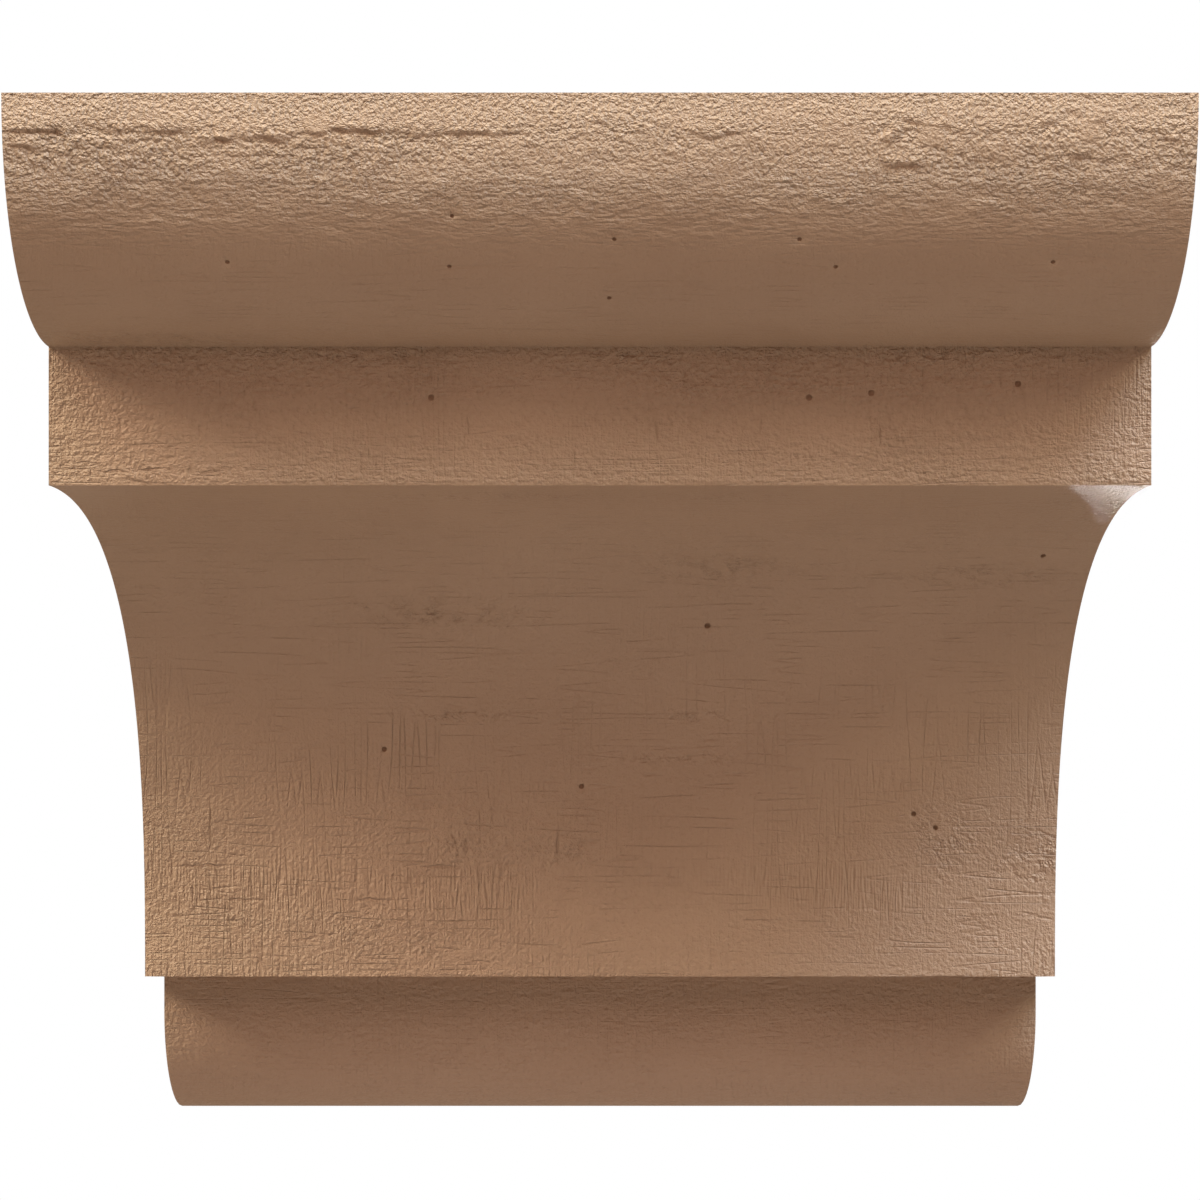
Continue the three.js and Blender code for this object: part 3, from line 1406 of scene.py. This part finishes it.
    def mark_arrises(self, mesh: bpy.types.Mesh, points: np.ndarray, levels: Levels) -> None:
        """Mark the arrises and creases as sharp, so that all else is shaded smooth.

        Args:
            mesh: The mesh.
            points: The skin's points.
            levels: The mesh's levels.
        """
        count = self.count
        pairs = np.zeros(2 * len(mesh.edges), dtype=np.int64)
        mesh.edges.foreach_get("vertices", pairs)
        pairs = pairs.reshape(-1, 2)
        rows, columns = pairs // count, pairs % count
        in_rings = (pairs < len(levels.drop) * count).all(axis=1)
        same_row = in_rings & (rows[:, 0] == rows[:, 1])
        same_column = in_rings & (columns[:, 0] == columns[:, 1])
        corners = (0, self.side_columns, self.side_columns + self.front_columns, count - 1)
        on_level = levels.edge[np.minimum(rows[:, 0], len(levels.edge) - 1)]
        sharp = (same_row & on_level) | (same_column & np.isin(columns[:, 0], corners))
        on_back = np.abs(points[pairs][:, :, 1]).max(axis=1) < TINY
        heights = np.round(points[:, 2], 4)
        ends = heights[[0, (len(levels.drop) - 1) * count]]
        at_end = np.isin(heights[pairs], ends).all(axis=1)
        sharp |= on_back & (at_end | same_column)
        layer = mesh.attributes.new("sharp_edge", "BOOLEAN", "EDGE")
        layer.data.foreach_set("value", sharp)

    def drop_unused(self, mesh: bpy.types.Mesh) -> None:
        """Remove the points that no face uses.

        Args:
            mesh: The mesh.
        """
        spare = bmesh.new()
        spare.from_mesh(mesh)
        unused = [v for v in spare.verts if not v.link_faces]
        bmesh.ops.delete(spare, geom=unused, context="VERTS")
        spare.to_mesh(mesh)
        spare.free()


@dataclass(frozen=True)
class Softbox:
    """A square soft light aimed at the corbel.

    turn is measured round from the camera's side towards the viewer's right, and lift above the
    horizon, in degrees. distance and size are in metres, power in watts and spread in degrees. aim
    is the point aimed at, from the corbel's middle: to the right, back and up, in metres.
    """

    name: str
    turn: float
    lift: float
    size: float
    power: float
    colour: tuple[float, float, float]
    distance: float = 2.0
    aim: tuple[float, float, float] = (0.0, 0.0, 0.0)
    spread: float = 180.0

    def place(self, middle: Vector) -> None:
        """Hang the light.

        Args:
            middle: The corbel's middle.
        """
        lamp = bpy.data.lights.new(self.name, "AREA")
        lamp.shape = "SQUARE"
        lamp.size = self.size
        lamp.energy = self.power
        lamp.color = self.colour
        lamp.spread = math.radians(self.spread)
        made = bpy.data.objects.new(self.name, lamp)
        turn, lift = math.radians(self.turn), math.radians(self.lift)
        level = math.cos(lift)
        way = Vector((math.sin(turn) * level, -math.cos(turn) * level, math.sin(lift)))
        made.location = middle + Vector(self.aim) + way * self.distance
        made.rotation_mode = "QUATERNION"
        made.rotation_quaternion = way.to_track_quat("Z", "Y")
        made.visible_camera = False
        bpy.context.scene.collection.objects.link(made)


@dataclass
class Studio:
    """The plain pale room: floor, surrounding light and softboxes, in metres."""

    ambient: tuple[float, float, float] = (0.1, 0.075, 0.065)
    floor_colour: tuple[float, float, float] = (0.19, 0.16, 0.14)
    floor_roughness: float = 0.9
    floor_gap: float = 0.12
    floor_half: float = 1.4
    softboxes: tuple[Softbox, ...] = (
        Softbox("key_left", -75.0, 35.0, 0.7, 45.7, (1.0, 0.853, 0.683)),
        Softbox("high_left", -45.0, 60.0, 0.7, 14.1, (0.875, 1.0, 0.853)),
        Softbox("spot_left", -60.0, 50.0, 0.42, 8.6, (0.875, 1.0, 0.853)),
        Softbox("spot_right", 60.0, 35.0, 0.42, 11.7, (1.0, 0.975, 0.816)),
        Softbox("rim_right", 60.0, 50.0, 0.42, 22.2, (0.627, 0.815, 1.0)),
        Softbox("top_right", 45.0, 60.0, 0.7, 32.8, (0.813, 0.896, 1.0)),
        Softbox("front_fill", 0.0, 35.0, 1.46, 10.5, (1.0, 0.643, 0.522)),
        Softbox("table_bounce", 0.0, -82.0, 0.2, 0.026, (1.0, 0.74, 0.8), distance=0.17),
        Softbox("back_fill", 170.0, 35.0, 0.9, 15.0, (1.0, 0.9, 0.8)),
        Softbox(
            "kicker_right",
            182.0,
            -30.0,
            0.02,
            0.0038,
            (1.0, 1.0, 1.0),
            distance=0.4,
            aim=(0.11, -0.039, 0.011),
            spread=9.0,
        ),
    )

    def build(self, low: Vector, high: Vector) -> None:
        """Make the floor, the surrounding light and the softboxes.

        Args:
            low: The corbel's lowest corner.
            high: Its highest corner.
        """
        self.make_floor(low)
        self.make_world()
        for box in self.softboxes:
            box.place((low + high) / 2.0)
        bpy.context.scene.view_settings.view_transform = "Standard"

    def make_floor(self, low: Vector) -> None:
        """Lay the floor a little below the corbel, which hangs clear of it.

        Args:
            low: The corbel's lowest corner.
        """
        half = self.floor_half
        z = low.z - self.floor_gap
        mesh = bpy.data.meshes.new("floor")
        around = [(-half, -half, z), (half, -half, z), (half, half, z), (-half, half, z)]
        mesh.from_pydata(around, [], [(0, 1, 2, 3)])
        floor = bpy.data.objects.new("floor", mesh)
        bpy.context.scene.collection.objects.link(floor)
        paint = bpy.data.materials.new("floor_paint")
        paint.use_nodes = True
        shader = paint.node_tree.nodes["Principled BSDF"]
        shader.inputs["Base Color"].default_value = (*self.floor_colour, 1.0)
        shader.inputs["Roughness"].default_value = self.floor_roughness
        mesh.materials.append(paint)

    def make_world(self) -> None:
        """Surround the corbel with even light, in front of a white backdrop."""
        world = bpy.data.worlds.new("studio")
        world.use_nodes = True
        nodes = world.node_tree.nodes
        links = world.node_tree.links
        room = nodes["Background"]
        room.inputs["Color"].default_value = (*self.ambient, 1.0)
        backdrop = nodes.new("ShaderNodeBackground")
        backdrop.inputs["Color"].default_value = (1.0, 1.0, 1.0, 1.0)
        path = nodes.new("ShaderNodeLightPath")
        choice = nodes.new("ShaderNodeMixShader")
        links.new(path.outputs["Is Camera Ray"], choice.inputs["Fac"])
        links.new(room.outputs["Background"], choice.inputs[1])
        links.new(backdrop.outputs["Background"], choice.inputs[2])
        links.new(choice.outputs["Shader"], nodes["World Output"].inputs["Surface"])
        bpy.context.scene.world = world


@dataclass(frozen=True)
class FrontCamera:
    """The camera, level and straight in front of the corbel, with a long lens.

    picture is the picture's width, corbel_width the corbel's in it and top_edge the top's place
    below the picture's upper edge, all in pixels. lens and sensor are in millimetres, and near and
    far, where its sight starts and ends, in metres.
    """

    lens: float = 1500.0
    sensor: float = 36.0
    picture: float = 1200.0
    corbel_width: float = 1197.6
    top_edge: float = 92.5
    near: float = 0.1
    far: float = 100.0

    def place(self, low: Vector, high: Vector) -> None:
        """Set the camera so that the corbel's top fills the picture's width.

        Args:
            low: The corbel's lowest corner.
            high: Its highest corner.
        """
        pixel = (high.x - low.x) / self.corbel_width
        distance = self.picture * pixel * self.lens / self.sensor
        height = high.z - (self.picture / 2.0 - self.top_edge) * pixel
        view = bpy.data.cameras.new("front_camera")
        view.lens = self.lens
        view.sensor_width = self.sensor
        view.clip_start = self.near
        view.clip_end = self.far
        made = bpy.data.objects.new("front_camera", view)
        made.location = (0.0, low.y - distance, height)
        made.rotation_euler = (math.pi / 2.0, 0.0, 0.0)
        bpy.context.scene.collection.objects.link(made)
        bpy.context.scene.camera = made


def main() -> None:
    """Build the corbel, the studio and the camera."""
    logging.basicConfig(level=logging.INFO, format="%(name)s: %(message)s")
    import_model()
    low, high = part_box("corbel")
    casting = Casting()
    piece = casting.build(Vector(low), Vector(high))
    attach(piece, "root")
    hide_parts("corbel")
    LOG.info("%s: %d faces", piece.name, len(piece.data.polygons))
    Studio().build(Vector(low), Vector(high))
    FrontCamera().place(Vector(low), Vector(high))


if __name__ == "__main__":
    main()
